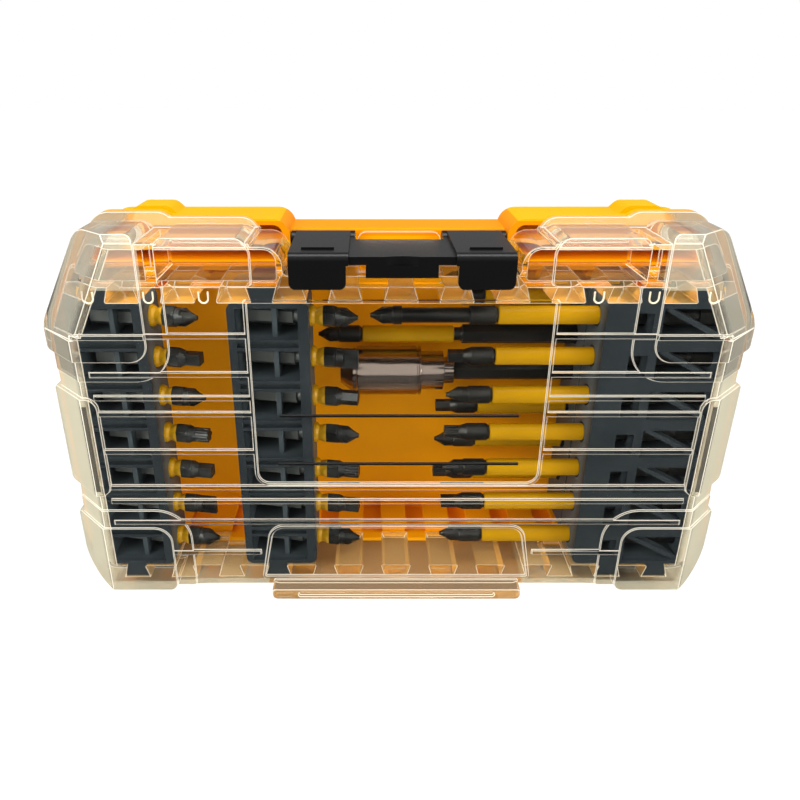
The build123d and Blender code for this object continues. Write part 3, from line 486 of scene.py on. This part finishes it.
# %% Dress the shells, latch and bars
dressed("base_shell", YELLOW, round_by=0.45 * MM)
dressed("lid_shell", CLEAR, round_by=0.22 * MM, turn=25, edge_finish=CLEAR_EDGE_HIGHLIGHT)
dressed("latch", BLACK, round_by=0.4 * MM)
for name in sorted(nodes):
    if name.startswith("bar_"):
        dressed(name, CHARCOAL, round_by=0.25 * MM)

# %% [markdown]
# ## Highlight loops and lines on the lid
# Small U-shaped loops hang between the upper teeth, against the inner face of the lid's front, or within
# the clear wall where it slopes at the ends. They are painted highlights in the milky edge finish, for the
# white glare that small moulded clips show. Two thin black lines stand out from the middle of its outer
# face. These marks could be shaped out of the lid's own faces, but those are large, and each mark would
# break them into slivers. So each is a curve with a round section that becomes a mesh, and the lines lie
# partly in the wall.


# %% A round wire
def wire(name, points, radius, finish):
    """A round wire through points (x, y, z) in millimetres."""
    line = bpy.data.curves.new(name, "CURVE")
    line.dimensions, line.bevel_depth, line.bevel_resolution = "3D", radius * MM, 2
    line.use_fill_caps = True
    spline = line.splines.new("POLY")
    spline.points.add(len(points) - 1)
    for spot, (x, y, z) in zip(spline.points, points):
        spot.co = (x * MM, y * MM, z * MM, 1.0)
    drawn = bpy.data.objects.new(name, line)
    bpy.context.scene.collection.objects.link(drawn)
    only(drawn)
    bpy.ops.object.convert(target="MESH")
    piece = bpy.context.object
    piece.name = name
    piece.data.materials.clear()
    piece.data.materials.append(finish)
    bpy.ops.object.shade_smooth()
    print(name, "with", len(piece.data.polygons), "faces")
    return piece


# %% Highlight loops and lines on the lid, in millimetres
LOOP_X, LOOP_Y, LOOP_WIRE = (61.5, 78.6, 97.2), -19.7, 0.3
LOOP_TOP_Z, LOOP_BEND_Z, LOOP_R, LOOP_STEPS = 113.0, 110.8, 1.45, 10
LINE_Y, LINE_WIRE, LINES = -22.15, 0.55, {"upper": (71.2, 39.6), "lower": (53.0, 40.9)}
turns = [math.pi * (1 + k / LOOP_STEPS) for k in range(LOOP_STEPS + 1)]
# Each loop is a painted highlight in the milky edge finish.
for hand, side in (("left", -1), ("right", 1)):
    for number, x in enumerate(LOOP_X, 1):
        arc = [(side * x + LOOP_R * math.cos(a), LOOP_Y, LOOP_BEND_Z + LOOP_R * math.sin(a)) for a in turns]
        loop = [(arc[0][0], LOOP_Y, LOOP_TOP_Z), *arc, (arc[-1][0], LOOP_Y, LOOP_TOP_Z)]
        piece = wire(f"lid_highlight_loop_{hand}_{number}", loop, LOOP_WIRE, CLEAR_EDGE_HIGHLIGHT)
        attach(piece, "lid")
for name, (z, half) in LINES.items():
    piece = wire(f"lid_line_{name}", [(-half, LINE_Y, z), (half, LINE_Y, z)], LINE_WIRE, BLACK)
    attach(piece, "lid")

# %% [markdown]
# ## Bits, sleeves and holder
# Steel bits have small broken edges from grinding, and their sleeves a small radius, so each gets a bevel
# of about a tenth of a millimetre. The small parts inside the holder hardly show, and stay sharp. Nearly
# fifty pieces could be dressed one by one, but the names of the solids say what each one is, so a loop
# chooses the finish by the name. The short bits have the finish with painted light on its shanks, and the
# long ones the plain one.

# %% Dress the bits, sleeves and holder
SMALL_EDGE = 0.12 * MM
INSIDE_HOLDER = ("holder_ball", "holder_magnet", "holder_ring", "holder_spring")
for name in sorted(nodes):
    if name in INSIDE_HOLDER:
        finish, slot = STEEL, "plain_steel"
    elif name in ("holder_core", "holder_sleeve"):
        finish, slot = CHROME, "chrome_steel"
    elif "_sleeve" in name or name.endswith("_rings"):
        finish, slot = TRIM, "yellow_trim"
    elif "_bit_" in name or name in ("long_bit", "holder_shank"):
        finish, slot = LIT_SHANK_OXIDE if name.startswith(("left", "middle")) else OXIDE, "black_steel"
    else:
        continue
    dressed(name, finish, round_by=0.0 if name in INSIDE_HOLDER else SMALL_EDGE, turn=30, steps=1)

# %% [markdown]
# ## Floor
# A product photograph has a white ground that keeps a faint shadow. More light would make any floor white,
# but it would bleach the case too. So the floor is a plain white that glows a little for the camera alone.
# Reflections see a dull floor, so that the lid's front stays clear. The real case lies on its back when it
# is open, so here the open lid swings below the floor, and the camera sees through the floor as well.

# %% Floor
FLOOR_WIDTH, FLOOR_Z = 6, -0.2 * MM
FLOOR_GREY, REFLECTED_GREY = 0.86, 0.12
GLOW, SEE_THROUGH = 0.76, 0.85
bpy.ops.mesh.primitive_plane_add(size=FLOOR_WIDTH, location=(0, 0, FLOOR_Z))
floor = bpy.context.object
floor.name = "floor"
finish = Finish("floor_white")
paint, dull = (finish.surface(Base_Color=(grey, grey, grey, 1), Roughness=0.9, Specular_IOR_Level=0.1)
               for grey in (FLOOR_GREY, REFLECTED_GREY))
ground = finish.layer(finish.ray("Glossy"), paint, dull)
glow = finish.node("ShaderNodeEmission", {}, {"Color": (1, 1, 1, 1), "Strength": GLOW})
seen = finish.ray("Camera")
lit = finish.layer(seen, ground, finish.node("ShaderNodeAddShader", {}, {0: ground, 1: glow}))
through = finish.node("ShaderNodeBsdfTransparent", {}, {"Color": (1, 1, 1, 1)})
floor.data.materials.append(finish.finished(finish.layer(seen * SEE_THROUGH, lit, through)))

# %% [markdown]
# ## Sky and lamps
# A product photograph is lit softly, mostly from above. White walls could be built round the case, but a
# dim white sky is simpler and gives the same soft light. The camera, and rays that pass through the lid,
# see that sky at full white instead. Three rectangles of light are the soft lamps, one of them overhead.

# %% Sky
SKY_STRENGTH = 0.36
world = bpy.data.worlds.new("studio")
bpy.context.scene.world = world
world.use_nodes = True
wires = world.node_tree
sky = wires.nodes["Background"]
sky.inputs["Color"].default_value = (1, 1, 1, 1)
sky.inputs["Strength"].default_value = SKY_STRENGTH
white = wires.nodes.new("ShaderNodeBackground")
white.inputs["Color"].default_value = (1, 1, 1, 1)
paths = wires.nodes.new("ShaderNodeLightPath")
either = wires.nodes.new("ShaderNodeMath")
either.operation = "MAXIMUM"
pick = wires.nodes.new("ShaderNodeMixShader")
for start, end in ((paths.outputs["Is Camera Ray"], either.inputs[0]),
                   (paths.outputs["Is Transmission Ray"], either.inputs[1]),
                   (either.outputs[0], pick.inputs[0]),
                   (sky.outputs[0], pick.inputs[1]),
                   (white.outputs[0], pick.inputs[2]),
                   (pick.outputs[0], wires.nodes["World Output"].inputs["Surface"])):
    wires.links.new(start, end)
print("sky at", SKY_STRENGTH, "and white to the camera")


# %% Lamps
def lamp(name, place, aim, size, watts):
    """A soft rectangle of light at a place, which faces the point that it is aimed at."""
    light = bpy.data.lights.new(name, "AREA")
    light.shape, light.size, light.size_y, light.energy = "RECTANGLE", size[0], size[1], watts
    stand = bpy.data.objects.new(name, light)
    bpy.context.scene.collection.objects.link(stand)
    stand.location = place
    stand.rotation_euler = (Vector(aim) - Vector(place)).to_track_quat("-Z", "Y").to_euler()
    print("lamp", name, watts, "W")


lamp("overhead", place=(0.0, -0.15, 0.9), aim=(0, 0, 0.05), size=(0.9, 0.35), watts=6.5)
lamp("front_left", place=(-0.7, -0.7, 0.55), aim=(0, 0, 0.06), size=(0.5, 0.5), watts=6.1)
lamp("front_right", place=(0.8, -0.6, 0.45), aim=(0, 0, 0.06), size=(0.5, 0.5), watts=5.1)
